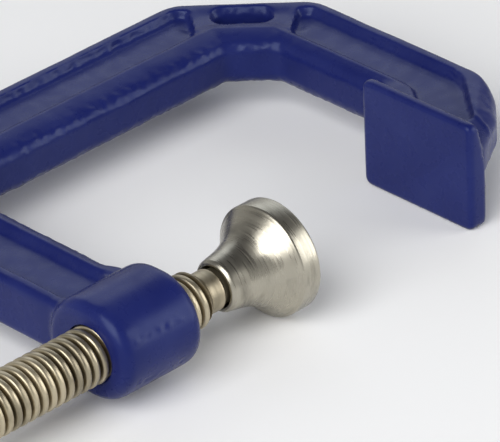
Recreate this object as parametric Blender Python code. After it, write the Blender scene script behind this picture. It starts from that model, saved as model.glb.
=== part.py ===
"""Screw clamp: cast C frame, trapezoidal screw, swivel shoe on a ball end, sliding tommy bar.

World frame: the origin is the point where the screw axis meets the anvil face.
+X runs along the screw towards the anvil, +Y from the screw to the spine, +Z out of the frame's flat.
All dimensions below are millimetres and are scaled to metres when a mesh is finished.
"""
import math

import bmesh
import bpy
from mathutils import Matrix, Vector

MM = 0.001
GAP = 0.35

# Frame casting: outer and inner faces of the C, measured from the origin.
HALF_THICK = 8.0
ARM_OUT = 36.2
ARM_IN = 11.9
SPINE_OUT = 111.2
SPINE_IN = 83.3
TAIL_OUT = -127.0
TAIL_IN = -101.5
CHAMFER_OUT = 29.6
CHAMFER_IN = 10.0
EDGE_ROUND = 2.2
END_ROUND = 5.2
MID_X = (ARM_IN + TAIL_IN) / 2.0 - 0.6

# Channels that leave an I section, and the hanging slot in the far corner.
WEB_HALF = 3.8
CHANNEL_DRAFT = 0.9
LIP_SPINE = 93.5
LIP_ARM = 18.3
SPINE_CHANNEL_TOP = 107.2
ARM_CHANNEL_OUT = 31.8
SLOT_CENTRE = (15.9, 91.5)
SLOT_LENGTH = 15.5
SLOT_WIDTH = 6.6

# Anvil plate and threaded boss.
ANVIL_DEPTH = 7.0
ANVIL_Y = (-12.2, 28.8)
ANVIL_HALF_Z = 16.3
ANVIL_DRAFT = 0.8
BOSS_RADIUS = 13.85
BOSS_REAR = -129.3
BOSS_FRONT = -101.2
BOSS_STRETCH = 3.0

# Trapezoidal thread, 16 mm by 3 mm, right hand.
PITCH = 3.0
CREST_R = 8.0
ROOT_R = 6.3
CREST_HALF = 0.52
ROOT_HALF = 1.02
THREAD_SIDES = 16
THREAD_FRONT = -89.5
THREAD_REAR = -193.0

# Neck, ball end and drilled head of the screw.
NECK_R = 5.74
SHOULDER_X = -86.0
THROAT_R = 4.9
PIVOT_X = -77.0
BALL_R = 6.0
BALL_GROOVE_R = 4.9
BALL_GROOVE_HALF = 1.3
HEAD_R = 10.5
HEAD_FRONT = -192.0
HEAD_REAR = -214.0
CROSS_X = -203.2
CROSS_R = 4.4

# Swivel shoe, measured along the axis from its pressing face.
SHOE_FACE = -60.7
SHOE_MOUTH = -84.6
SHOE_R = 16.0
SOCKET_R = 6.3
RECESS_R = 7.3
RECESS_HALF = 1.9

# Snap ring seated in the groove of the ball.
RING_MEAN_R = 6.05
RING_WIRE_R = 0.8

# Tommy bar and its end caps.
BAR_R = 4.0
BAR_HALF = 52.0
CAP_R = 6.0
CAP_INNER = 45.2
CAP_OUTER = 55.2


def clear_scene():
    for obj in list(bpy.data.objects):
        bpy.data.objects.remove(obj, do_unlink=True)


def make_material(name, colour, metallic, roughness):
    mat = bpy.data.materials.new(name)
    mat.use_nodes = True
    shader = mat.node_tree.nodes["Principled BSDF"]
    shader.inputs["Base Color"].default_value = (*colour, 1.0)
    shader.inputs["Metallic"].default_value = metallic
    shader.inputs["Roughness"].default_value = roughness
    mat.diffuse_color = (*colour, 1.0)
    return mat


def to_object(name, bm):
    """Close up the bmesh with outward normals and link it as an object, still in millimetres."""
    bmesh.ops.recalc_face_normals(bm, faces=bm.faces[:])
    mesh = bpy.data.meshes.new(name)
    bm.to_mesh(mesh)
    bm.free()
    obj = bpy.data.objects.new(name, mesh)
    bpy.context.scene.collection.objects.link(obj)
    return obj


def combine(target, tool, operation):
    """Exact Boolean of target with tool; the tool is used up."""
    modifier = target.modifiers.new("cut", "BOOLEAN")
    modifier.operation = operation
    modifier.solver = "EXACT"
    modifier.object = tool
    bpy.context.view_layer.update()
    graph = bpy.context.evaluated_depsgraph_get()
    result = bpy.data.meshes.new_from_object(target.evaluated_get(graph))
    target.modifiers.clear()
    target.data = result
    bpy.data.objects.remove(tool, do_unlink=True)


def finish(obj, mat, smooth_angle=35.0):
    """Scale to metres, merge slivers, set the material and shade round faces smooth."""
    bm = bmesh.new()
    bm.from_mesh(obj.data)
    bmesh.ops.remove_doubles(bm, verts=bm.verts[:], dist=0.002)
    bmesh.ops.dissolve_degenerate(bm, edges=bm.edges[:], dist=0.002)
    bmesh.ops.scale(bm, verts=bm.verts[:], vec=(MM, MM, MM))
    bmesh.ops.triangulate(bm, faces=bm.faces[:])
    bmesh.ops.recalc_face_normals(bm, faces=bm.faces[:])
    limit = math.radians(smooth_angle)
    for face in bm.faces:
        face.smooth = True
        face.material_index = 0
    for edge in bm.edges:
        edge.smooth = edge.calc_face_angle(0.0) < limit
    bm.to_mesh(obj.data)
    bm.free()
    obj.data.materials.clear()
    obj.data.materials.append(mat)
    return obj


def set_origin(obj, point_mm):
    """Move the object's origin to a point without moving its surface."""
    point = Vector(point_mm) * MM
    obj.data.transform(Matrix.Translation(-point))
    obj.location = point


def rounded(corners):
    """Outline of (x, y, radius) corners with each corner turned into an arc."""
    points = []
    count = len(corners)
    for index, (x, y, radius) in enumerate(corners):
        here = Vector((x, y))
        if radius <= 0.0:
            points.append(here)
            continue
        before = Vector(corners[index - 1][:2]) - here
        after = Vector(corners[(index + 1) % count][:2]) - here
        before.normalize()
        after.normalize()
        opening = before.angle(after)
        reach = radius / math.tan(opening / 2.0)
        centre = here + (before + after).normalized() * (radius / math.sin(opening / 2.0))
        start = here + before * reach - centre
        sweep = start.angle_signed(here + after * reach - centre)
        steps = max(2, round(abs(math.degrees(sweep)) / 15.0))
        for step in range(steps + 1):
            turn = Matrix.Rotation(-sweep * step / steps, 2)
            points.append(centre + turn @ start)
    return points


def inset(outline, amount):
    """Counter-clockwise outline moved inwards by an amount along its corner bisectors."""
    moved = []
    count = len(outline)
    for index, here in enumerate(outline):
        arriving = (here - outline[index - 1]).normalized()
        leaving = (outline[(index + 1) % count] - here).normalized()
        bisector = Vector((-arriving.y - leaving.y, arriving.x + leaving.x)).normalized()
        spread = bisector.dot(Vector((-arriving.y, arriving.x)))
        moved.append(here + bisector * (amount / spread))
    return moved


def ordered(outline):
    """The same outline running counter-clockwise."""
    area = sum(before.cross(here) for before, here in zip([outline[-1]] + outline, outline))
    return outline if area > 0.0 else outline[::-1]


def skin(rings):
    """Solid through a stack of matching rings of points, closed at both ends."""
    bm = bmesh.new()
    loops = [[bm.verts.new(point) for point in ring] for ring in rings]
    count = len(loops[0])
    for low, high in zip(loops, loops[1:]):
        for index in range(count):
            after = (index + 1) % count
            bm.faces.new((low[index], low[after], high[after], high[index]))
    bm.faces.new(loops[0])
    bm.faces.new(loops[-1])
    return bm


def loft(outline, levels):
    """Solid through inset copies of a closed outline; levels are (height, inset) from low to high."""
    outline = ordered(outline)
    return skin([[(p.x, p.y, z) for p in inset(outline, amount)] for z, amount in levels])


def edge_radius(point):
    """Edge rounding of the casting, swelling towards the blunt end of the anvil arm."""
    if point.x < 8.0:
        return EDGE_ROUND
    blend = min(1.0, max(0.0, (26.0 - point.y) / 16.0))
    return EDGE_ROUND + (END_ROUND - EDGE_ROUND) * blend


def rounded_slab(outline):
    """Slab of the casting's thickness with its upper and lower edges rounded."""
    outline = ordered(outline)
    inward = [inner - here for inner, here in zip(inset(outline, 1.0), outline)]
    rings = []
    for top in (-1.0, 1.0):
        for angle in (90.0, 60.0, 30.0, 0.0)[::-int(top)]:
            turn = math.radians(angle)
            ring = []
            for point, step in zip(outline, inward):
                radius = edge_radius(point)
                place = point + step * radius * (1.0 - math.cos(turn))
                ring.append((place.x, place.y, top * (HALF_THICK - radius * (1.0 - math.sin(turn)))))
            rings.append(ring)
    return skin(rings)


def revolve(profile, sides):
    """Solid of revolution about the X axis; the profile is (x, radius), closed on the axis or looped."""
    bm = bmesh.new()
    rings = []
    for x, radius in profile:
        if radius < 1e-6:
            rings.append([bm.verts.new((x, 0.0, 0.0))])
            continue
        ring = []
        for side in range(sides):
            angle = 2.0 * math.pi * side / sides
            ring.append(bm.verts.new((x, radius * math.cos(angle), radius * math.sin(angle))))
        rings.append(ring)
    pairs = list(zip(rings, rings[1:]))
    if len(rings[0]) > 1:
        pairs.append((rings[-1], rings[0]))
    for first, second in pairs:
        for side in range(sides):
            after = (side + 1) % sides
            if len(first) == 1:
                bm.faces.new((first[0], second[side], second[after]))
            elif len(second) == 1:
                bm.faces.new((first[side], first[after], second[0]))
            else:
                bm.faces.new((first[side], first[after], second[after], second[side]))
    return bm


def helix(x_rear, x_front, crest_r, root_r, crest_half, root_half, lead_in):
    """Right-hand threaded rod about the X axis, cut square at both ends.

    lead_in is the length of the 45 degree run-out at each end, or 0 for a thread cut off full.
    """
    bm = bmesh.new()
    section = [(-root_half, root_r), (-crest_half, crest_r), (crest_half, crest_r), (root_half, root_r)]
    turns = math.ceil((x_front - x_rear) / PITCH) + 3
    first_turn = math.floor(x_rear / PITCH) - 1
    columns = []
    for side in range(THREAD_SIDES):
        angle = 2.0 * math.pi * side / THREAD_SIDES
        column = []
        for turn in range(turns):
            for along, radius in section:
                x = (first_turn + turn + side / THREAD_SIDES) * PITCH + along
                if lead_in > 0.0:
                    inside = max(0.0, min(x - x_rear, x_front - x))
                    radius = min(radius, crest_r - lead_in + inside)
                column.append(bm.verts.new((x, radius * math.cos(angle), radius * math.sin(angle))))
        columns.append(column)
    columns.append(columns[0][len(section):])
    for first, second in zip(columns, columns[1:]):
        for row in range(min(len(first), len(second)) - 1):
            bm.faces.new((first[row], second[row], second[row + 1], first[row + 1]))
    for x, direction in ((x_rear, -1.0), (x_front, 1.0)):
        geometry = bm.verts[:] + bm.edges[:] + bm.faces[:]
        bmesh.ops.bisect_plane(bm, geom=geometry, dist=1e-5, plane_co=(x, 0.0, 0.0),
                               plane_no=(direction, 0.0, 0.0), clear_outer=True)
        rim = [edge for edge in bm.edges if edge.is_boundary and abs(edge.verts[0].co.x - x) < 1e-3]
        bmesh.ops.holes_fill(bm, edges=rim, sides=0)
    return bm


def frame_outline():
    """C shape seen along Z, from the far corner round to the anvil end."""
    left = TAIL_OUT + CHAMFER_OUT
    return rounded([
        (ARM_OUT, SPINE_OUT - CHAMFER_OUT, 9.0),
        (ARM_OUT - CHAMFER_OUT, SPINE_OUT, 9.0),
        (left, SPINE_OUT, 9.0),
        (TAIL_OUT, SPINE_OUT - CHAMFER_OUT, 9.0),
        (TAIL_OUT, 0.0, 0.0),
        (TAIL_IN, 0.0, 0.0),
        (TAIL_IN, SPINE_IN - CHAMFER_IN, 6.0),
        (TAIL_IN + CHAMFER_IN, SPINE_IN, 6.0),
        (ARM_IN - CHAMFER_IN, SPINE_IN, 6.0),
        (ARM_IN, SPINE_IN - CHAMFER_IN, 6.0),
        (ARM_IN, 30.0, 5.0),
        (5.0, 25.0, 0.0),
        (5.0, -8.5, 0.0),
        (12.2, -10.8, 4.0),
        (ARM_OUT, 16.5, 25.0),
    ])


def spine_channel():
    left = 2.0 * MID_X
    return rounded([
        (left + 0.5, LIP_SPINE, 2.0),
        (-0.5, LIP_SPINE, 2.0),
        (7.3, 103.8, 2.0),
        (4.2, SPINE_CHANNEL_TOP, 2.0),
        (left - 4.2, SPINE_CHANNEL_TOP, 2.0),
        (left - 7.3, 103.8, 2.0),
    ])


def arm_channel():
    """Recess down the anvil arm that curls in behind the plate."""
    return rounded([
        (LIP_ARM, 74.5, 2.0),
        (28.8, 82.3, 2.0),
        (ARM_CHANNEL_OUT, 79.3, 2.0),
        (ARM_CHANNEL_OUT, 20.5, 12.0),
        (17.0, 2.5, 3.0),
        (11.0, 2.5, 1.5),
        (11.0, 17.5, 2.0),
        (LIP_ARM, 28.0, 5.0),
    ])


def tail_channel():
    """Recess down the arm that carries the boss, mirrored from the anvil arm."""
    return rounded([
        (TAIL_IN - 6.3, 74.5, 2.0),
        (TAIL_IN - 6.3, 15.5, 2.0),
        (TAIL_OUT + 4.0, 15.5, 2.0),
        (TAIL_OUT + 4.0, 79.3, 2.0),
        (TAIL_OUT + 7.0, 82.3, 2.0),
    ])


def slot_outline():
    """Straight-sided slot with round ends, parallel to the corner chamfer."""
    along = Vector((1.0, -1.0)).normalized()
    across = Vector((-along.y, along.x))
    half = (SLOT_LENGTH - SLOT_WIDTH) / 2.0
    points = []
    for end in (1.0, -1.0):
        for step in range(7):
            angle = math.radians(30.0 * step - 90.0)
            offset = (along * math.cos(angle) + across * math.sin(angle)) * end
            points.append(Vector(SLOT_CENTRE) + along * half * end + offset * SLOT_WIDTH / 2.0)
    return points


def anvil_block():
    """Drafted plate whose front face lies on x = 0."""
    bm = bmesh.new()
    rings = []
    for x, inset, radius in ((0.0, 0.9, 2.0), (0.9, 0.0, 2.6), (ANVIL_DEPTH, ANVIL_DRAFT, 2.6)):
        low, high = ANVIL_Y[0] + inset, ANVIL_Y[1] - inset
        tall = ANVIL_HALF_Z - inset
        corners = ((low, -tall, radius), (high, -tall, radius), (high, tall, radius), (low, tall, radius))
        rings.append([bm.verts.new((x, p.x, p.y)) for p in rounded(corners)])
    for first, second in zip(rings, rings[1:]):
        for index in range(len(first)):
            after = (index + 1) % len(first)
            bm.faces.new((first[index], first[after], second[after], second[index]))
    bm.faces.new(rings[0])
    bm.faces.new(rings[-1])
    return bm


def build_frame(mat):
    frame = to_object("frame", rounded_slab(frame_outline()))
    wall = [(WEB_HALF, CHANNEL_DRAFT), (HALF_THICK, 0.0), (HALF_THICK + 2.0, 0.0)]
    opposite = [(-z, amount) for z, amount in reversed(wall)]
    for outline in (spine_channel(), arm_channel(), tail_channel()):
        combine(frame, to_object("recess_top", loft(outline, wall)), "DIFFERENCE")
        combine(frame, to_object("recess_low", loft(outline, opposite)), "DIFFERENCE")
    rim = [(-HALF_THICK - 1.0, -1.4), (-HALF_THICK, -0.9), (1.0 - HALF_THICK, 0.0),
           (HALF_THICK - 1.0, 0.0), (HALF_THICK, -0.9), (HALF_THICK + 1.0, -1.4)]
    combine(frame, to_object("slot", loft(slot_outline(), rim)), "DIFFERENCE")
    combine(frame, to_object("anvil", anvil_block()), "UNION")
    barrel = [(BOSS_REAR, 0.0), (BOSS_REAR, BOSS_RADIUS - 2.6), (BOSS_REAR + 0.8, BOSS_RADIUS - 0.8),
              (BOSS_REAR + 2.6, BOSS_RADIUS), (BOSS_FRONT - 2.6, BOSS_RADIUS),
              (BOSS_FRONT - 0.8, BOSS_RADIUS - 0.8), (BOSS_FRONT, BOSS_RADIUS - 2.6), (BOSS_FRONT, 0.0)]
    bm = revolve(barrel, 44)
    for vert in bm.verts:
        if vert.co.y > 0.01:
            vert.co.y += BOSS_STRETCH
    combine(frame, to_object("barrel", bm), "UNION")
    bore = helix(BOSS_REAR - 4.0, BOSS_FRONT + 4.0, CREST_R + 0.46, ROOT_R + 0.42,
                 CREST_HALF + GAP - 0.1, ROOT_HALF + GAP - 0.13, 0.0)
    combine(frame, to_object("bore", bore), "DIFFERENCE")
    for x, inward in ((BOSS_REAR, 1.0), (BOSS_FRONT, -1.0)):
        mouth = [(x - inward, 0.0), (x - inward, 10.2), (x + inward * 1.9, 7.3), (x + inward * 1.9, 0.0)]
        combine(frame, to_object("mouth", revolve(mouth, 40)), "DIFFERENCE")
    return finish(frame, mat)


def build_screw(mat):
    screw = to_object("screw", helix(THREAD_REAR, THREAD_FRONT, CREST_R, ROOT_R, CREST_HALF, ROOT_HALF, 1.6))
    ball = [(THREAD_FRONT - 2.0, 0.0), (THREAD_FRONT - 2.0, NECK_R), (SHOULDER_X - 0.4, NECK_R),
            (SHOULDER_X, NECK_R - 0.4), (SHOULDER_X, THROAT_R)]
    rear_join = math.degrees(math.acos(-math.sqrt(BALL_R ** 2 - THROAT_R ** 2) / BALL_R))
    groove_edge = math.degrees(math.asin(BALL_GROOVE_HALF / BALL_R))
    rear_edge, front_edge = 90.0 + groove_edge, 90.0 - groove_edge
    for angle in (rear_join, (rear_join + rear_edge) / 2.0, rear_edge):
        turn = math.radians(angle)
        ball.append((PIVOT_X + BALL_R * math.cos(turn), BALL_R * math.sin(turn)))
    ball.append((PIVOT_X - BALL_GROOVE_HALF, BALL_GROOVE_R))
    ball.append((PIVOT_X + BALL_GROOVE_HALF, BALL_GROOVE_R))
    for step in range(8):
        turn = math.radians(front_edge * (1.0 - step / 7.0))
        ball.append((PIVOT_X + BALL_R * math.cos(turn), BALL_R * math.sin(turn)))
    combine(screw, to_object("ball", revolve(ball, 32)), "UNION")
    head = [(HEAD_REAR, 0.0), (HEAD_REAR, HEAD_R - 2.5), (HEAD_REAR + 1.0, HEAD_R - 0.8),
            (HEAD_REAR + 2.6, HEAD_R), (HEAD_FRONT - 2.2, HEAD_R), (HEAD_FRONT, HEAD_R - 2.2),
            (HEAD_FRONT, 0.0)]
    combine(screw, to_object("head", revolve(head, 36)), "UNION")
    hole = revolve([(-20.0, 0.0), (-20.0, CROSS_R), (20.0, CROSS_R), (20.0, 0.0)], 28)
    bmesh.ops.rotate(hole, verts=hole.verts[:], matrix=Matrix.Rotation(math.radians(90.0), 3, "Z"))
    bmesh.ops.translate(hole, verts=hole.verts[:], vec=(CROSS_X, 0.0, 0.0))
    combine(screw, to_object("hole", hole), "DIFFERENCE")
    return finish(screw, mat)


def build_shoe(mat):
    """Bell-shaped shoe, open at the collar, with a round socket and a recess for the snap ring."""
    profile = [(SHOE_FACE, 0.0), (SHOE_FACE, SHOE_R - 1.3), (SHOE_FACE - 0.4, SHOE_R - 0.4),
               (SHOE_FACE - 1.3, SHOE_R), (SHOE_FACE - 6.2, SHOE_R), (SHOE_FACE - 6.8, SHOE_R - 0.5),
               (SHOE_FACE - 7.1, SHOE_R - 1.0), (SHOE_FACE - 8.6, SHOE_R - 1.7),
               (SHOE_FACE - 10.6, SHOE_R - 3.1), (SHOE_FACE - 12.6, SHOE_R - 5.1),
               (SHOE_FACE - 14.6, SHOE_R - 6.7), (SHOE_FACE - 16.8, SHOE_R - 7.7),
               (SHOE_FACE - 19.0, SHOE_R - 8.1), (SHOE_FACE - 21.4, SHOE_R - 8.3),
               (SHOE_MOUTH + 1.0, SHOE_R - 8.5), (SHOE_MOUTH + 0.3, SHOE_R - 8.9),
               (SHOE_MOUTH, SHOE_R - 9.3), (SHOE_MOUTH, SOCKET_R),
               (PIVOT_X - RECESS_HALF, SOCKET_R), (PIVOT_X - RECESS_HALF, RECESS_R),
               (PIVOT_X + RECESS_HALF, RECESS_R)]
    start = math.degrees(math.acos(RECESS_HALF / SOCKET_R))
    for step in range(8):
        turn = math.radians(start * (1.0 - step / 7.0))
        profile.append((PIVOT_X + SOCKET_R * math.cos(turn), SOCKET_R * math.sin(turn)))
    shoe = finish(to_object("swivel_shoe", revolve(profile, 40)), mat)
    set_origin(shoe, (PIVOT_X, 0.0, 0.0))
    return shoe


def build_ring(mat):
    """Open wire ring round the groove of the ball."""
    bm = bmesh.new()
    sections = []
    for step in range(23):
        angle = math.radians(105.0 + 15.0 * step)
        outward = Vector((0.0, math.cos(angle), math.sin(angle)))
        section = []
        for side in range(10):
            turn = math.radians(36.0 * side)
            offset = Vector((math.sin(turn), 0.0, 0.0)) + outward * math.cos(turn)
            place = Vector((PIVOT_X, 0.0, 0.0)) + outward * RING_MEAN_R + offset * RING_WIRE_R
            section.append(bm.verts.new(place))
        sections.append(section)
    for first, second in zip(sections, sections[1:]):
        for side in range(10):
            after = (side + 1) % 10
            bm.faces.new((first[side], first[after], second[after], second[side]))
    bm.faces.new(sections[0])
    bm.faces.new(sections[-1])
    return finish(to_object("snap_ring", bm), mat)


def build_bar(mat):
    profile = [(-BAR_HALF, 0.0), (-BAR_HALF, BAR_R - 0.7), (-BAR_HALF + 0.7, BAR_R),
               (BAR_HALF - 0.7, BAR_R), (BAR_HALF, BAR_R - 0.7), (BAR_HALF, 0.0)]
    bm = revolve(profile, 28)
    bmesh.ops.rotate(bm, verts=bm.verts[:], matrix=Matrix.Rotation(math.radians(90.0), 3, "Z"))
    bmesh.ops.translate(bm, verts=bm.verts[:], vec=(CROSS_X, 0.0, 0.0))
    bar = finish(to_object("tommy_bar", bm), mat)
    set_origin(bar, (CROSS_X, 0.0, 0.0))
    return bar


def build_cap(name, side, mat):
    """Domed cup pressed over one end of the bar; side is +1 or -1 along Y."""
    bore = BAR_R + 0.3
    profile = [(CAP_OUTER, 0.0), (CAP_OUTER, CAP_R - 2.6), (CAP_OUTER - 0.8, CAP_R - 0.9),
               (CAP_OUTER - 2.4, CAP_R), (CAP_INNER + 1.0, CAP_R), (CAP_INNER, CAP_R - 0.8),
               (CAP_INNER, bore), (BAR_HALF + 0.3, bore), (BAR_HALF + 0.3, 0.0)]
    bm = revolve(profile, 28)
    turn = math.radians(90.0 if side > 0 else -90.0)
    bmesh.ops.rotate(bm, verts=bm.verts[:], matrix=Matrix.Rotation(turn, 3, "Z"))
    bmesh.ops.translate(bm, verts=bm.verts[:], vec=(CROSS_X, 0.0, 0.0))
    return finish(to_object(name, bm), mat)


def main():
    clear_scene()
    paint = make_material("frame_paint", (0.025, 0.032, 0.16), 0.0, 0.3)
    plate = make_material("screw_plating", (0.62, 0.58, 0.48), 1.0, 0.3)
    bright = make_material("shoe_plating", (0.66, 0.62, 0.53), 1.0, 0.22)
    spring = make_material("spring_steel", (0.30, 0.30, 0.32), 1.0, 0.35)
    build_frame(paint)
    build_screw(plate)
    build_shoe(bright)
    build_ring(spring)
    build_bar(plate)
    build_cap("bar_cap_left", 1.0, plate)
    build_cap("bar_cap_right", -1.0, plate)


main()
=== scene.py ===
"""Screw clamp in glossy navy enamel and brushed nickel plate, on a pale studio floor.

Shapes are built in millimetres about the CAD origin, where the screw's axis meets the anvil face,
and scaled to metres when each piece is finished. +X runs along the screw towards the anvil.
"""
import math

import bmesh
import bpy
from mathutils import Matrix, Vector, noise


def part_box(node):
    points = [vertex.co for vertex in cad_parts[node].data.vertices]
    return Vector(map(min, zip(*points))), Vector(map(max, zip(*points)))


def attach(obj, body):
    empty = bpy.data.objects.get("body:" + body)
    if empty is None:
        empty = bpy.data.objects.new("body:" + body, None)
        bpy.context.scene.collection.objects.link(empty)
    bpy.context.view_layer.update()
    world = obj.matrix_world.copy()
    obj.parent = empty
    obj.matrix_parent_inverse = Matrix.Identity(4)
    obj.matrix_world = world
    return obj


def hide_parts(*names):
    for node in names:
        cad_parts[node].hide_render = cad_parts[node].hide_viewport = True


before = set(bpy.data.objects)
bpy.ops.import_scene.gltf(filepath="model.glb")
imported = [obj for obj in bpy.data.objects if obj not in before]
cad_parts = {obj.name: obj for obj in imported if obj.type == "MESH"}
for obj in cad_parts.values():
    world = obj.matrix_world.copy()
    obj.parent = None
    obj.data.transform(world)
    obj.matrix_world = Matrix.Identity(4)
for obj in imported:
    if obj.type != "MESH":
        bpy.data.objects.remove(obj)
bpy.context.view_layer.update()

MM = 0.001
AXIS_X = (1.0, 0.0, 0.0)

# Casting. THICK and WEB are half thicknesses, GRAIN is the skin's voxel size. A channel's or slot's
# steps are (drop, draft) pairs from the upper face down.
THICK = 8.0
WEB = 5.2
GRAIN = 0.72
EDGE_ROUND = 2.0
CHANNEL_STEPS = ((0.8, 0.12), (0.5, 0.40), (0.6, 0.12), (0.5, 0.30))
SLOT_STEPS = ((0.2, 0.05), (1.5, 1.1), (0.3, 0.05), (6.6, 0.2))
ARM_OUT, ARM_IN, SPINE_OUT, SPINE_IN = 36.2, 11.9, 111.2, 83.3
TAIL_OUT, TAIL_IN = -127.0, -101.5
LIP_ARM, LIP_SPINE, LIP_TAIL = 18.3, 93.5, -107.8
LIP_LINES = (LIP_ARM, LIP_SPINE, LIP_TAIL, 98.4)
THROAT_LINES = (ARM_IN, SPINE_IN, TAIL_IN, 85.2)
INNER_FALL = 1.9
CREST_RISE = 0.45
END_FALL = 3.4
SLOT_CENTRE, SLOT_HALF, SLOT_WIDE = (15.9, 91.5), 9.0, 4.5
PLATE_FOOT, PLATE_LONG, PLATE_HALF = -12.2, 41.0, 16.3
BOSS_REAR, BOSS_FRONT, BOSS_R, BOSS_STRETCH = -129.3, -101.2, 13.85, 3.0
BORE_R, BORE_GROOVE_R = 6.72, 8.46

# Screw and thread.
PITCH = 3.0
CREST_R = 8.0
THREAD_REAR, THREAD_FRONT = -193.0, -91.0
NECK_R = 5.95
PIVOT_X, BALL_R = -77.0, 6.0
CROSS_X, HOLE_R = -203.2, 4.4

# Swivel shoe.
SHOE_FACE, SHOE_MOUTH = -60.7, -84.6
SOCKET_R, RING_SEAT_R = 6.3, 7.3


# ---------------------------------------------------------------- building

def to_object(name, bm):
    """Link a closed bmesh, its normals turned outwards, as an object still in millimetres."""
    bmesh.ops.recalc_face_normals(bm, faces=bm.faces[:])
    mesh = bpy.data.meshes.new(name)
    bm.to_mesh(mesh)
    bm.free()
    obj = bpy.data.objects.new(name, mesh)
    bpy.context.scene.collection.objects.link(obj)
    return obj


def bake_modifiers(obj):
    """Keep the result of the object's modifiers as its own mesh."""
    graph = bpy.context.evaluated_depsgraph_get()
    result = bpy.data.meshes.new_from_object(obj.evaluated_get(graph))
    obj.modifiers.clear()
    obj.data = result


def combine(target, tool, operation):
    """Exact Boolean of target with tool; the tool is used up."""
    modifier = target.modifiers.new("combine", "BOOLEAN")
    modifier.operation = operation
    modifier.solver = "EXACT"
    modifier.object = tool
    bake_modifiers(target)
    bpy.data.objects.remove(tool, do_unlink=True)


def finish_piece(obj, material, body, nodes, sharp=38.0):
    """Scale to metres, shade smooth up to the sharp angle, and hand the piece to its body."""
    bm = bmesh.new()
    bm.from_mesh(obj.data)
    bmesh.ops.remove_doubles(bm, verts=bm.verts[:], dist=0.001)
    bmesh.ops.scale(bm, verts=bm.verts[:], vec=(MM, MM, MM))
    limit = math.radians(sharp)
    for face in bm.faces:
        face.smooth = True
        face.material_index = 0
    for edge in bm.edges:
        edge.smooth = edge.calc_face_angle(0.0) < limit
    bm.to_mesh(obj.data)
    bm.free()
    obj.data.materials.clear()
    obj.data.materials.append(material)
    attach(obj, body)
    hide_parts(*nodes)
    return obj


def outline(corners, height, segments=8):
    """Flat face through (x, y, radius) corners, each corner rounded to its own radius."""
    bm = bmesh.new()
    verts = [bm.verts.new((x, y, height)) for x, y, _ in corners]
    face = bm.faces.new(verts)
    face.normal_update()
    if face.normal.z < 0.0:
        bmesh.ops.reverse_faces(bm, faces=[face])
    by_radius = {}
    for index, vert in enumerate(verts):
        radius = corners[index][2]
        if radius > 0.0:
            before = Vector(corners[index - 1][:2]) - vert.co.xy
            after = Vector(corners[(index + 1) % len(corners)][:2]) - vert.co.xy
            reach = radius / math.tan(before.angle(after) / 2.0)
            by_radius.setdefault(round(reach, 3), []).append(vert)
    for reach, group in by_radius.items():
        bmesh.ops.bevel(bm, geom=group, offset=reach, offset_type="OFFSET", segments=segments,
                        profile=0.5, affect="VERTICES", material=-1)
    return bm


def slab(corners, low, high):
    """Upright prism through rounded corners."""
    bm = outline(corners, low)
    grown = bmesh.ops.extrude_face_region(bm, geom=bm.faces[:])["geom"]
    top = [item for item in grown if isinstance(item, bmesh.types.BMVert)]
    bmesh.ops.translate(bm, verts=top, vec=(0.0, 0.0, high - low))
    return bm


def rim_edges(bm, height):
    """Edges that lie in the plane z = height."""
    return [edge for edge in bm.edges if all(abs(v.co.z - height) < 1e-4 for v in edge.verts)]


def lathe(profile, steps=96, rounding=()):
    """Closed (x, radius) profile turned about the X axis; rounding is {corner index: bevel}."""
    bm = bmesh.new()
    verts = [bm.verts.new((x, radius, 0.0)) for x, radius in profile]
    bm.faces.new(verts)
    by_size = {}
    for index, size in dict(rounding).items():
        by_size.setdefault(size, []).append(verts[index])
    for size, group in by_size.items():
        bmesh.ops.bevel(bm, geom=group, offset=size, offset_type="OFFSET", segments=5,
                        profile=0.5, affect="VERTICES", material=-1)
    bmesh.ops.delete(bm, geom=bm.faces[:], context="FACES_ONLY")
    core = [edge for edge in bm.edges if all(v.co.y < 1e-6 for v in edge.verts)]
    bmesh.ops.delete(bm, geom=core, context="EDGES")
    bmesh.ops.spin(bm, geom=bm.verts[:] + bm.edges[:], cent=(0.0, 0.0, 0.0), axis=AXIS_X,
                   angle=2.0 * math.pi, steps=steps, use_merge=True)
    bmesh.ops.remove_doubles(bm, verts=bm.verts[:], dist=1e-4)
    bmesh.ops.dissolve_degenerate(bm, edges=bm.edges[:], dist=1e-5)
    return bm


def coil(profile, rear, front, steps=48):
    """Thread wound right-handed round the X axis from one pitch of profile, cut square at both ends."""
    bm = bmesh.new()
    first_turn = math.floor(rear / PITCH) - 1
    turns = math.ceil((front - rear) / PITCH) + 3
    verts = [bm.verts.new((first_turn * PITCH + x, radius, 0.0)) for x, radius in profile]
    edges = [bm.edges.new(pair) for pair in zip(verts, verts[1:])]
    bmesh.ops.spin(bm, geom=verts + edges, cent=(0.0, 0.0, 0.0), axis=AXIS_X,
                   dvec=(PITCH / steps, 0.0, 0.0), angle=2.0 * math.pi * turns,
                   steps=steps * turns, use_merge=False)
    bmesh.ops.remove_doubles(bm, verts=bm.verts[:], dist=2e-4)
    for x, direction in ((rear, -1.0), (front, 1.0)):
        whole = bm.verts[:] + bm.edges[:] + bm.faces[:]
        bmesh.ops.bisect_plane(bm, geom=whole, dist=1e-5, plane_co=(x, 0.0, 0.0),
                               plane_no=(direction, 0.0, 0.0), clear_outer=True)
    return bm


def cap_ends(bm, rear, front):
    """Close the open rims at the rear and front of a coil."""
    for x in (rear, front):
        rim = [e for e in bm.edges if e.is_boundary and all(abs(v.co.x - x) < 1e-3 for v in e.verts)]
        bmesh.ops.holes_fill(bm, edges=rim, sides=0)


def turn_to_bar(bm, side=1.0):
    """Swing a piece made about the X axis so that it lies across the screw, along Y."""
    bmesh.ops.rotate(bm, verts=bm.verts[:], cent=(0.0, 0.0, 0.0),
                     matrix=Matrix.Rotation(math.radians(90.0 * side), 3, "Z"))
    bmesh.ops.translate(bm, verts=bm.verts[:], vec=(CROSS_X, 0.0, 0.0))
    return bm


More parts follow.
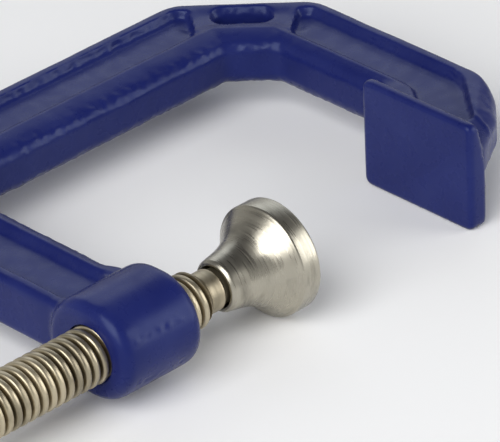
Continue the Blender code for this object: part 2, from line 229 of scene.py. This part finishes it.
# ---------------------------------------------------------------- frame casting

def c_outline():
    """Corners (x, y, rounding) of the C, outside first."""
    return [
        (ARM_OUT, 81.6, 9.0), (6.6, SPINE_OUT, 9.0), (-97.4, SPINE_OUT, 9.0), (TAIL_OUT, 81.6, 9.0),
        (TAIL_OUT, 0.0, 0.0), (TAIL_IN, 0.0, 0.0), (TAIL_IN, 73.3, 6.0), (-91.5, SPINE_IN, 6.0),
        (1.9, SPINE_IN, 6.0), (ARM_IN, 73.3, 6.0), (ARM_IN, 30.0, 5.0), (5.0, 25.0, 0.0),
        (5.0, -8.5, 0.0), (11.0, -7.2, 3.0), (24.0, 0.6, 14.0), (ARM_OUT, 12.6, 18.0),
    ]


def channels():
    """Corners of the recesses in spine, anvil arm and tail arm."""
    spine = [(-90.3, LIP_SPINE, 2.0), (-0.5, LIP_SPINE, 2.0), (7.3, 103.8, 2.0), (4.2, 107.2, 2.0),
             (-95.0, 107.2, 2.0), (-98.1, 103.8, 2.0)]
    arm = [(LIP_ARM, 74.5, 2.0), (28.8, 82.3, 2.0), (31.8, 79.3, 2.0), (31.8, 20.5, 12.0),
           (17.0, 2.5, 3.0), (11.0, 2.5, 1.5), (11.0, 17.5, 2.0), (LIP_ARM, 28.0, 5.0)]
    tail = [(LIP_TAIL, 74.5, 2.0), (LIP_TAIL, 15.5, 2.0), (-123.0, 15.5, 2.0), (-123.0, 79.3, 2.0),
            (-120.0, 82.3, 2.0)]
    return spine, arm, tail


def sunk_tool(corners, side, steps):
    """Recess that narrows step by step as it sinks; side is +1 for the upper face, -1 for the lower."""
    bm = outline(corners, THICK + 2.0)
    bmesh.ops.reverse_faces(bm, faces=bm.faces[:])
    face = max(bm.faces, key=lambda f: f.calc_area())
    grown = bmesh.ops.extrude_face_region(bm, geom=[face], use_keep_orig=True)["geom"]
    floor = [item for item in grown if isinstance(item, bmesh.types.BMFace)]
    verts = [item for item in grown if isinstance(item, bmesh.types.BMVert)]
    bmesh.ops.translate(bm, verts=verts, vec=(0.0, 0.0, -2.4))
    for drop, draft in steps:
        bmesh.ops.inset_region(bm, faces=floor, thickness=draft, depth=drop, use_even_offset=True)
    if side < 0.0:
        bmesh.ops.scale(bm, verts=bm.verts[:], vec=(1.0, 1.0, -1.0))
    return bm


def slot_corners():
    """Obround outline of the hanging slot, lying along the corner chamfer."""
    along, across = Vector((0.7071, -0.7071)), Vector((0.7071, 0.7071))
    corners = []
    for a, b in ((-SLOT_HALF, -SLOT_WIDE), (SLOT_HALF, -SLOT_WIDE), (SLOT_HALF, SLOT_WIDE),
                 (-SLOT_HALF, SLOT_WIDE)):
        point = Vector(SLOT_CENTRE) + along * a + across * b
        corners.append((point.x, point.y, SLOT_WIDE - 0.3))
    return corners


def anvil_tool():
    """Anvil plate with its front face on x = 0 and its back thinned towards the upper edge."""
    bm = bmesh.new()
    section = [(0.0, -PLATE_HALF), (0.0, PLATE_HALF), (3.2, PLATE_HALF), (4.8, 10.5), (6.1, 4.0),
               (6.5, -4.0), (6.3, -12.0), (5.8, -PLATE_HALF)]
    bm.faces.new([bm.verts.new((x, PLATE_FOOT, z)) for x, z in section])
    grown = bmesh.ops.extrude_face_region(bm, geom=bm.faces[:])["geom"]
    far_end = [item for item in grown if isinstance(item, bmesh.types.BMVert)]
    bmesh.ops.translate(bm, verts=far_end, vec=(0.0, PLATE_LONG, 0.0))
    corner = [e for e in bm.edges if abs(e.verts[0].co.x - e.verts[1].co.x) > 1.0
              and all(abs(v.co.z) > PLATE_HALF - 0.3 for v in e.verts)]
    bmesh.ops.bevel(bm, geom=corner, offset=2.4, offset_type="OFFSET", segments=5, profile=0.5,
                    affect="EDGES", material=-1)
    face_rim = [e for e in bm.edges if all(v.co.x < 0.01 for v in e.verts)]
    bmesh.ops.bevel(bm, geom=face_rim, offset=0.8, offset_type="OFFSET", segments=3, profile=0.5,
                    affect="EDGES", material=-1)
    return bm


def boss_tool():
    """Boss with rounded ends, its spine side moved outwards by BOSS_STRETCH."""
    profile = [(BOSS_REAR, 0.0), (BOSS_REAR, BOSS_R), (BOSS_FRONT, BOSS_R), (BOSS_FRONT, 0.0)]
    bm = lathe(profile, steps=72, rounding={1: 3.6, 2: 3.0})
    for vert in bm.verts:
        if vert.co.y > 0.01:
            vert.co.y += BOSS_STRETCH
    return bm


def beyond(x, y, arm, spine, tail, corner):
    """Distance outwards from a C-shaped line; corner is x + y on its chamfer."""
    return max(x - arm, y - spine, tail - x,
               (x + y - corner) / math.sqrt(2.0), (y - x - corner - 89.6) / math.sqrt(2.0))


def soft_step(value, low, high):
    """Smooth rise from 0 at low to 1 at high."""
    share = min(1.0, max(0.0, (value - low) / (high - low)))
    return share * share * (3.0 - 2.0 * share)


def flange_fall(place, past_lip):
    """How far the inner flange has dropped from the lip towards the throat, with its ragged brow."""
    past_edge = beyond(place.x, place.y, *THROAT_LINES)
    share = min(1.0, -past_lip / max(0.01, past_edge - past_lip))
    ragged = 0.34 * noise.noise(place * 0.5) + 0.2 * noise.noise(place * 1.2)
    brow = soft_step(share, 0.55, 0.9)
    fade = soft_step(abs(place.z), 0.3, 7.4) * soft_step(place.y, 15.0, 24.0)
    if place.x > 4.0:
        fade *= soft_step(place.y, 29.0, 36.0)
    return (0.7 * share + INNER_FALL * share ** 2.4 + ragged * brow) * fade


def end_fall(place):
    """How far the outer flange thins as it sweeps round to the anvil plate."""
    inside = min((24.0 - place.x) * 0.514 + (place.y - 0.6) * 0.857,
                 (36.2 - place.x) * 0.701 + (place.y - 12.6) * 0.713)
    near = 1.0 - soft_step(inside, -1.0, 7.0)
    along = soft_step(26.0 - place.y, 0.0, 22.0) * soft_step(place.x, 7.5, 11.0)
    return END_FALL * near * along * soft_step(abs(place.z), 0.3, 7.4)


def corner_dish(place, past_lip):
    """Shallow dish of the pad round the slot, with a crisp edge along the lip."""
    in_corner = soft_step(place.x, -0.5, 3.0) * soft_step(place.y, 74.0, 79.0)
    return 0.55 * soft_step(past_lip, 0.0, 0.7) * (1.0 - soft_step(past_lip, 6.0, 11.0)) * in_corner


def channel_lumps(place, past_lip):
    """Foundry lumps on the channel walls, kept off the outer faces."""
    to_outside = min(ARM_OUT - place.x, SPINE_OUT - place.y, place.x - TAIL_OUT,
                     (117.8 - place.x - place.y) / 1.414, (207.8 + place.x - place.y) / 1.414)
    inside = soft_step(past_lip, -0.6, 0.2) * soft_step(to_outside, 2.4, 3.4)
    if WEB + 0.3 < abs(place.z) < THICK - 0.7:
        return inside * (0.36 * noise.noise(place * 0.42) + 0.14 * noise.noise(place * 1.1))
    return 0.0


def true_boss(place):
    """Pull the boss's skin back to its turned radius, away from its rounded ends and the arm."""
    centre = min(max(place.y, 0.0), BOSS_STRETCH)
    reach = math.hypot(place.y - centre, place.z)
    if not BOSS_REAR < place.x < BOSS_FRONT or abs(reach - BOSS_R) > 0.5:
        return place
    weight = soft_step(place.x, BOSS_REAR + 3.8, BOSS_REAR + 6.0) \
        * (1.0 - soft_step(place.x, BOSS_FRONT - 6.0, BOSS_FRONT - 3.4))
    if place.y > 0.0:
        weight *= soft_step(abs(place.z), 8.5, 10.5)
    grow = 1.0 + (BOSS_R / reach - 1.0) * weight
    return Vector((place.x, centre + (place.y - centre) * grow, place.z * grow))


def shape_casting(obj):
    """Slope the inner flange and give the skin its foundry waviness, staying inside the CAD size."""
    mesh = obj.data
    for vert in mesh.vertices:
        past_lip = beyond(vert.co.x, vert.co.y, *LIP_LINES)
        if 0.3 < abs(vert.co.z) < THICK + 0.5:
            fall = flange_fall(vert.co, past_lip) if past_lip < 0.0 else corner_dish(vert.co, past_lip)
            crest = math.exp(-((past_lip + 0.55) / 0.75) ** 2) * soft_step(abs(vert.co.z), 6.0, 7.4)
            fall += end_fall(vert.co) - CREST_RISE * crest
            vert.co.z -= math.copysign(fall, vert.co.z)
    mesh.update()
    moved = []
    for vert in mesh.vertices:
        place = true_boss(vert.co)
        past_lip = beyond(place.x, place.y, *LIP_LINES)
        on_plate = -5.0 < place.x < 7.5 and place.y < 30.0
        on_boss = place.x < TAIL_IN + 1.0 and place.y < 17.0
        calm = 0.4 if on_boss else 0.3 if on_plate else 1.0
        swell = (0.14 * noise.noise(place * 0.09) - 0.08) * calm
        swell += 0.035 * noise.noise(place * 0.3) * calm ** 4
        lumps = channel_lumps(place, past_lip) * (1.0 - vert.normal.z ** 4)
        moved.append(place + vert.normal * (swell + lumps))
    low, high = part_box("frame")
    for vert, place in zip(mesh.vertices, moved):
        vert.co = [min(max(value, least / MM), most / MM)
                   for value, least, most in zip(place, low, high)]
    mesh.update()


def build_casting(material):
    """Sand casting: slab, recesses, plate and boss skinned as one, then shaped and bored."""
    casting = to_object("casting", slab(c_outline(), -THICK, THICK))
    bm = bmesh.new()
    bm.from_mesh(casting.data)
    edges = rim_edges(bm, THICK) + rim_edges(bm, -THICK)
    bmesh.ops.bevel(bm, geom=edges, offset=EDGE_ROUND, offset_type="OFFSET", segments=4, profile=0.5,
                    affect="EDGES", material=-1)
    bm.to_mesh(casting.data)
    bm.free()
    for corners in channels():
        for side in (1.0, -1.0):
            combine(casting, to_object("recess", sunk_tool(corners, side, CHANNEL_STEPS)), "DIFFERENCE")
    for side in (1.0, -1.0):
        half_slot = sunk_tool(slot_corners(), side, SLOT_STEPS)
        combine(casting, to_object("half_slot", half_slot), "DIFFERENCE")
    combine(casting, to_object("anvil", anvil_tool()), "UNION")
    combine(casting, to_object("boss", boss_tool()), "UNION")
    remesh = casting.modifiers.new("skin", "REMESH")
    remesh.mode = "VOXEL"
    remesh.voxel_size = GRAIN
    soften = casting.modifiers.new("soften", "SMOOTH")
    soften.factor = 0.5
    soften.iterations = 5
    bake_modifiers(casting)
    shape_casting(casting)
    thread = [(-1.5, BORE_R), (-1.38, BORE_R), (-1.1, BORE_GROOVE_R), (1.1, BORE_GROOVE_R),
              (1.38, BORE_R), (1.5, BORE_R)]
    bore = coil(thread, BOSS_REAR - 3.0, BOSS_FRONT + 3.0, steps=32)
    cap_ends(bore, BOSS_REAR - 3.0, BOSS_FRONT + 3.0)
    combine(casting, to_object("bore", bore), "DIFFERENCE")
    for x, inwards in ((BOSS_REAR, 1.0), (BOSS_FRONT, -1.0)):
        mouth = lathe([(x - inwards, 0.0), (x - inwards, 9.3), (x + inwards * 1.5, 7.0),
                       (x + inwards * 1.5, 0.0)], steps=64)
        combine(casting, to_object("mouth", mouth), "DIFFERENCE")
    return finish_piece(casting, material, "clamp_frame", ["frame"], sharp=50.0)


# ---------------------------------------------------------------- screw, shoe and ring

def thread_profile():
    """Root to root over one pitch, with rounded crest and root."""
    half = [(-1.5, 6.35), (-1.36, 6.37), (-1.22, 6.55), (-1.10, 6.95), (-0.99, 7.4), (-0.87, 7.72),
            (-0.66, 7.92), (-0.35, 7.99), (0.0, 8.0)]
    return half + [(-x, radius) for x, radius in reversed(half[:-1])]


def build_screw(material):
    """Screw: thread tapered at both ends, neck and grooved ball, and cross-drilled head."""
    rod = coil(thread_profile(), THREAD_REAR, THREAD_FRONT)
    for vert in rod.verts:
        radius = math.hypot(vert.co.y, vert.co.z)
        inside = max(0.0, min(vert.co.x - THREAD_REAR, THREAD_FRONT - vert.co.x))
        allowed = CREST_R - 1.7 + 0.8 * inside
        if radius > allowed:
            vert.co.y *= allowed / radius
            vert.co.z *= allowed / radius
    cap_ends(rod, THREAD_REAR, THREAD_FRONT)
    screw = to_object("threaded_screw", rod)
    ball = [(THREAD_FRONT - 2.0, 0.0), (THREAD_FRONT - 2.0, NECK_R), (-86.1, NECK_R), (-85.4, 5.2),
            (-82.6, 5.1), (-82.0, 4.9), (PIVOT_X - 3.46, 4.9)]
    for degrees in range(138, 12, -6):
        turn = math.radians(degrees)
        radius = BALL_R * math.sin(turn)
        along = BALL_R * math.cos(turn)
        if abs(along) < 1.3:
            radius = 4.9
        ball.append((PIVOT_X + along, radius))
    tip = math.radians(8.0)
    ball += [(PIVOT_X + BALL_R * math.cos(tip), BALL_R * math.sin(tip)), (PIVOT_X + BALL_R, 0.0)]
    combine(screw, to_object("ball", lathe(ball, steps=64, rounding={2: 0.3, 3: 0.2})), "UNION")
    head = [(-214.0, 0.0), (-214.0, 10.5), (-211.4, 10.5), (-211.1, 10.2), (-210.7, 10.2),
            (-210.4, 10.5), (-195.8, 10.5), (-195.5, 10.2), (-195.1, 10.2), (-194.8, 10.5),
            (-192.0, 10.5), (-192.0, 0.0)]
    combine(screw, to_object("head", lathe(head, rounding={1: 1.4, 10: 1.2})), "UNION")
    hole = [(-20.0, 0.0), (-20.0, HOLE_R), (20.0, HOLE_R), (20.0, 0.0)]
    combine(screw, to_object("hole", turn_to_bar(lathe(hole, steps=48))), "DIFFERENCE")
    return finish_piece(screw, material, "screw", ["screw"])


def build_shoe(material):
    """Bell-shaped swivel shoe: rolled rim, fine groove, flare, collar and socket."""
    outer = [(0.0, 0.0), (0.0, 16.0), (6.3, 16.0), (7.0, 15.1), (7.35, 14.8), (8.3, 13.9), (9.8, 12.4),
             (11.5, 11.0), (13.4, 9.85), (15.6, 8.95), (18.0, 8.3), (20.8, 7.85), (23.1, 7.4),
             (23.9, 6.75)]
    profile = [(SHOE_FACE - back, radius) for back, radius in outer]
    profile += [(SHOE_MOUTH, 6.15), (SHOE_MOUTH + 1.2, SOCKET_R), (PIVOT_X - 1.9, SOCKET_R),
                (PIVOT_X - 1.9, RING_SEAT_R), (PIVOT_X + 1.9, RING_SEAT_R), (PIVOT_X + 1.9, 6.0)]
    for degrees in range(64, 3, -12):
        turn = math.radians(degrees)
        profile.append((PIVOT_X + SOCKET_R * math.cos(turn), SOCKET_R * math.sin(turn)))
    profile.append((PIVOT_X + SOCKET_R, 0.0))
    rounding = {1: 0.9, 2: 0.4, 3: 0.12, 5: 0.4, 6: 0.9, 7: 0.9, 8: 0.9, 9: 0.9, 10: 0.8, 11: 0.5,
                12: 0.3, 13: 0.15}
    shoe = to_object("shoe_bell", lathe(profile, steps=112, rounding=rounding))
    return finish_piece(shoe, material, "shoe", ["swivel_shoe"])


def build_ring(material):
    """Open wire ring that holds the ball in its socket."""
    bm = bmesh.new()
    bmesh.ops.create_circle(bm, cap_ends=True, radius=0.8, segments=16)
    bmesh.ops.translate(bm, verts=bm.verts[:], vec=(0.0, 6.05, 0.0))
    bmesh.ops.rotate(bm, verts=bm.verts[:], cent=(0.0, 0.0, 0.0),
                     matrix=Matrix.Rotation(math.radians(15.0), 3, "X"))
    bmesh.ops.spin(bm, geom=bm.faces[:], cent=(0.0, 0.0, 0.0), axis=AXIS_X,
                   angle=math.radians(330.0), steps=56, use_merge=False)
    bmesh.ops.translate(bm, verts=bm.verts[:], vec=(PIVOT_X, 0.0, 0.0))
    ring = to_object("wire_ring", bm)
    return finish_piece(ring, material, "screw_carrier", ["snap_ring"], sharp=60.0)


# ---------------------------------------------------------------- tommy bar

def build_bar(material):
    """Plain bar with chamfered ends, through the head."""
    profile = [(-52.0, 0.0), (-52.0, 4.0), (52.0, 4.0), (52.0, 0.0)]
    bar = to_object("bar_rod", turn_to_bar(lathe(profile, steps=56, rounding={1: 0.7, 2: 0.7})))
    return finish_piece(bar, material, "tommy_bar", ["tommy_bar"])


def build_cap(name, side, node, material):
    """Domed cup pressed over one end of the bar, with a crimped groove near its mouth."""
    profile = [(55.2, 0.0), (55.2, 6.0), (48.2, 6.0), (47.9, 5.65), (47.3, 5.65), (47.0, 6.0),
               (45.2, 6.0),
               (45.2, 4.3), (52.3, 4.3), (52.3, 0.0)]
    bm = lathe(profile, steps=56, rounding={1: 2.3, 6: 0.5, 7: 0.2})
    cap = to_object(name, turn_to_bar(bm, side))
    return finish_piece(cap, material, "tommy_bar", [node])


# ---------------------------------------------------------------- finishes

def new_material(name, colour, metallic, roughness):
    """Principled material; gives back the material, its node tree and its shader."""
    material = bpy.data.materials.new(name)
    material.use_nodes = True
    tree = material.node_tree
    shader = tree.nodes["Principled BSDF"]
    shader.inputs["Base Color"].default_value = (*colour, 1.0)
    shader.inputs["Metallic"].default_value = metallic
    shader.inputs["Roughness"].default_value = roughness
    return material, tree, shader


def place_noise(tree, scale, detail, stretch=(1.0, 1.0, 1.0)):
    """Noise over the object's own coordinates, in metres, stretched per axis."""
    coords = tree.nodes.new("ShaderNodeTexCoord")
    mapping = tree.nodes.new("ShaderNodeMapping")
    mapping.inputs["Scale"].default_value = stretch
    pattern = tree.nodes.new("ShaderNodeTexNoise")
    pattern.inputs["Scale"].default_value = scale
    pattern.inputs["Detail"].default_value = detail
    tree.links.new(coords.outputs["Object"], mapping.inputs["Vector"])
    tree.links.new(mapping.outputs["Vector"], pattern.inputs["Vector"])
    return pattern.outputs["Fac"]


def ramp(tree, value, stops):
    """Colour ramp through (position, colour) stops."""
    node = tree.nodes.new("ShaderNodeValToRGB")
    elements = node.color_ramp.elements
    while len(elements) < len(stops):
        elements.new(0.5)
    for element, (position, colour) in zip(elements, stops):
        element.position = position
        element.color = (*colour, 1.0)
    tree.links.new(value, node.inputs["Fac"])
    return node.outputs["Color"]


def remap(tree, value, low, high):
    """Noise stretched to run from low to high."""
    node = tree.nodes.new("ShaderNodeMapRange")
    node.inputs["From Min"].default_value = 0.3
    node.inputs["From Max"].default_value = 0.7
    node.inputs["To Min"].default_value = low
    node.inputs["To Max"].default_value = high
    tree.links.new(value, node.inputs["Value"])
    return node.outputs["Result"]


def bump(tree, height, depth_mm, under=None):
    """Bump of depth_mm, on top of the normal given as under."""
    node = tree.nodes.new("ShaderNodeBump")
    node.inputs["Strength"].default_value = 1.0
    node.inputs["Distance"].default_value = depth_mm * MM
    tree.links.new(height, node.inputs["Height"])
    if under is not None:
        tree.links.new(under, node.inputs["Normal"])
    return node.outputs["Normal"]


def navy_enamel():
    """Glossy dark blue enamel, a little uneven in tone and flow."""
    material, tree, shader = new_material("navy_enamel", (0.012, 0.018, 0.116), 0.0, 0.22)
    tint = ramp(tree, place_noise(tree, 60.0, 3.0), [
        (0.30, (0.009, 0.014, 0.103)), (0.55, (0.012, 0.018, 0.116)), (0.75, (0.016, 0.023, 0.126))])
    tree.links.new(tint, shader.inputs["Base Color"])
    tree.links.new(remap(tree, place_noise(tree, 220.0, 4.0), 0.22, 0.36), shader.inputs["Roughness"])
    flow = bump(tree, place_noise(tree, 230.0, 2.0), 0.01)
    peel = bump(tree, place_noise(tree, 1100.0, 3.0), 0.006, under=flow)
    tree.links.new(peel, shader.inputs["Normal"])
    shader.inputs["Specular IOR Level"].default_value = 0.23
    shader.inputs["Specular Tint"].default_value = (0.66, 0.78, 1.0, 1.0)
    return material


def paint_root_shade(tree, tone):
    """Painted shade in the thread's grooves: darker towards the screw's axis."""
    coords = tree.nodes.new("ShaderNodeTexCoord")
    flatten = tree.nodes.new("ShaderNodeMapping")
    flatten.inputs["Scale"].default_value = (0.0, 1.0, 1.0)
    tree.links.new(coords.outputs["Object"], flatten.inputs["Vector"])
    length = tree.nodes.new("ShaderNodeVectorMath")
    length.operation = "LENGTH"
    tree.links.new(flatten.outputs["Vector"], length.inputs[0])
    depth = tree.nodes.new("ShaderNodeMapRange")
    depth.inputs["From Min"].default_value = 6.35 * MM
    depth.inputs["From Max"].default_value = 7.75 * MM
    tree.links.new(length.outputs["Value"], depth.inputs["Value"])
    place = tree.nodes.new("ShaderNodeSeparateXYZ")
    tree.links.new(coords.outputs["Object"], place.inputs["Vector"])
    unshaded = depth.outputs["Result"]
    for inner, outer in ((THREAD_FRONT - 0.8, THREAD_FRONT + 0.8),
                         (THREAD_REAR + 0.8, THREAD_REAR - 0.8)):
        past_thread = tree.nodes.new("ShaderNodeMapRange")
        past_thread.inputs["From Min"].default_value = inner * MM
        past_thread.inputs["From Max"].default_value = outer * MM
        tree.links.new(place.outputs["X"], past_thread.inputs["Value"])
        less_shaded = tree.nodes.new("ShaderNodeMath")
        less_shaded.operation = "MAXIMUM"
        tree.links.new(unshaded, less_shaded.inputs[0])
        tree.links.new(past_thread.outputs["Result"], less_shaded.inputs[1])
        unshaded = less_shaded.outputs["Value"]
    # Painted shade: the thread root is darkened to stand in for the shade between the crests; the neck
    # and head stay unshaded.
    shade = ramp(tree, unshaded, [
        (0.0, (0.34, 0.31, 0.27)), (0.6, (0.72, 0.70, 0.67)), (1.0, (1.0, 1.0, 1.0))])
    mix = tree.nodes.new("ShaderNodeMix")
    mix.data_type = "RGBA"
    mix.blend_type = "MULTIPLY"
    mix.inputs["Factor"].default_value = 1.0
    tree.links.new(tone, mix.inputs["A"])
    tree.links.new(shade, mix.inputs["B"])
    return mix.outputs["Result"]


def nickel(name, colour, roughness, marks, depth_mm, stretch=(1.0, 0.04, 0.04), painted_root_shade=False):
    """Plated, lathe-turned steel; turning marks run round the axis along which stretch is 1."""
    material, tree, shader = new_material(name, colour, 1.0, roughness)
    turned = place_noise(tree, marks, 3.0, stretch)
    cloud = place_noise(tree, 110.0, 4.0, (1.6, 0.6, 0.6))
    dark = tuple(channel * 0.55 for channel in colour)
    light = tuple(min(1.0, channel * 1.08) for channel in colour)
    tone = ramp(tree, cloud, [(0.3, dark), (0.5, colour), (0.72, light)])
    # Optional painted shade that darkens the thread root.
    if painted_root_shade:
        tone = paint_root_shade(tree, tone)
    tree.links.new(tone, shader.inputs["Base Color"])
    tree.links.new(remap(tree, turned, roughness * 0.75, roughness * 1.35), shader.inputs["Roughness"])
    lines = bump(tree, turned, depth_mm)
    tree.links.new(bump(tree, place_noise(tree, 900.0, 2.0), depth_mm * 0.6, under=lines),
                   shader.inputs["Normal"])
    return material


def spring_steel():
    """Oiled dark spring wire."""
    material, tree, shader = new_material("spring_steel", (0.30, 0.30, 0.32), 1.0, 0.35)
    tree.links.new(remap(tree, place_noise(tree, 1500.0, 2.0), 0.28, 0.42), shader.inputs["Roughness"])
    return material


def pale_floor():
    """Near-white matt floor."""
    material, tree, shader = new_material("pale_floor", (0.96, 0.96, 0.96), 0.0, 0.75)
    shade = ramp(tree, place_noise(tree, 2.0, 2.0), [
        (0.3, (0.95, 0.95, 0.95)), (0.7, (0.97, 0.97, 0.97))])
    tree.links.new(shade, shader.inputs["Base Color"])
    shader.inputs["Specular IOR Level"].default_value = 0.1
    return material


# ---------------------------------------------------------------- studio

def aim(obj, place, target):
    """Put a light at place, facing target."""
    obj.location = place
    obj.rotation_euler = (Vector(target) - Vector(place)).to_track_quat("-Z", "Y").to_euler()


def softbox(name, place, target, wide, tall, power, colour=(1.0, 1.0, 1.0)):
    """Rectangular area light."""
    light = bpy.data.lights.new(name, "AREA")
    light.shape = "RECTANGLE"
    light.size = wide
    light.size_y = tall
    light.energy = power
    light.color = colour
    obj = bpy.data.objects.new(name, light)
    bpy.context.scene.collection.objects.link(obj)
    aim(obj, place, target)


def build_studio():
    """Floor under the lowest CAD node, three softboxes and the room's light."""
    bm = bmesh.new()
    bmesh.ops.create_grid(bm, x_segments=1, y_segments=1, size=6.0)
    lowest = min(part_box(node)[0].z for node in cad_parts)
    bmesh.ops.translate(bm, verts=bm.verts[:], vec=(0.0, 0.0, lowest))
    floor = to_object("studio_floor", bm)
    floor.data.materials.append(pale_floor())
    middle = (-0.045, 0.045, 0.0)
    softbox("side_softbox", (0.80, -0.80, 0.36), middle, 0.75, 0.95, 6.4)
    softbox("key_softbox", (-1.20, -0.30, 1.05), middle, 1.30, 1.30, 24.5)
    softbox("back_softbox", (0.95, 1.05, 0.90), middle, 1.60, 0.90, 4.3, (0.86, 0.92, 1.0))
    build_world()


def build_world():
    """Studio room: bright near the horizon and dim overhead."""
    world = bpy.data.worlds.new("studio_room")
    bpy.context.scene.world = world
    world.use_nodes = True
    tree = world.node_tree
    coords = tree.nodes.new("ShaderNodeTexCoord")
    split = tree.nodes.new("ShaderNodeSeparateXYZ")
    tree.links.new(coords.outputs["Generated"], split.inputs["Vector"])
    sky = ramp(tree, split.outputs["Z"], [
        (0.0, (0.95, 0.95, 0.95)), (0.35, (0.72, 0.72, 0.72)), (0.62, (0.40, 0.40, 0.41)),
        (0.80, (0.16, 0.16, 0.17)), (1.0, (0.14, 0.14, 0.15))])
    background = tree.nodes["Background"]
    tree.links.new(sky, background.inputs["Color"])
    background.inputs["Strength"].default_value = 0.57


def build_camera():
    """Long lens at the working angle of a bench photograph."""
    camera = bpy.data.cameras.new("camera")
    camera.lens = 396.18
    camera.sensor_width = 36.0
    camera.sensor_fit = "HORIZONTAL"
    camera.clip_start = 0.05
    camera.clip_end = 20.0
    obj = bpy.data.objects.new("camera", camera)
    bpy.context.scene.collection.objects.link(obj)
    right = Vector((0.711867, -0.701291, -0.037897))
    up = Vector((0.379128, 0.338304, 0.861285))
    back = Vector((-0.591191, -0.627489, 0.506706))
    turn = Matrix((right, up, back)).transposed().to_4x4()
    obj.matrix_world = Matrix.Translation((-0.921294, -0.902830, 0.743052)) @ turn
    bpy.context.scene.camera = obj


def main():
    """Every piece, then the studio and the camera."""
    enamel = navy_enamel()
    # The screw's material carries painted shade in its thread root.
    screw_plate = nickel("screw_nickel", (0.52, 0.455, 0.325), 0.40, 1400.0, 0.012, painted_root_shade=True)
    shoe_plate = nickel("shoe_nickel", (0.43, 0.404, 0.335), 0.29, 2600.0, 0.015)
    bar_plate = nickel("bar_nickel", (0.56, 0.52, 0.42), 0.22, 1400.0, 0.008, stretch=(0.04, 1.0, 0.04))
    build_casting(enamel)
    build_screw(screw_plate)
    build_shoe(shoe_plate)
    build_ring(spring_steel())
    build_bar(bar_plate)
    build_cap("cap_left", 1.0, "bar_cap_left", bar_plate)
    build_cap("cap_right", -1.0, "bar_cap_right", bar_plate)
    build_studio()
    build_camera()
    bpy.context.scene.view_settings.view_transform = "Standard"


main()
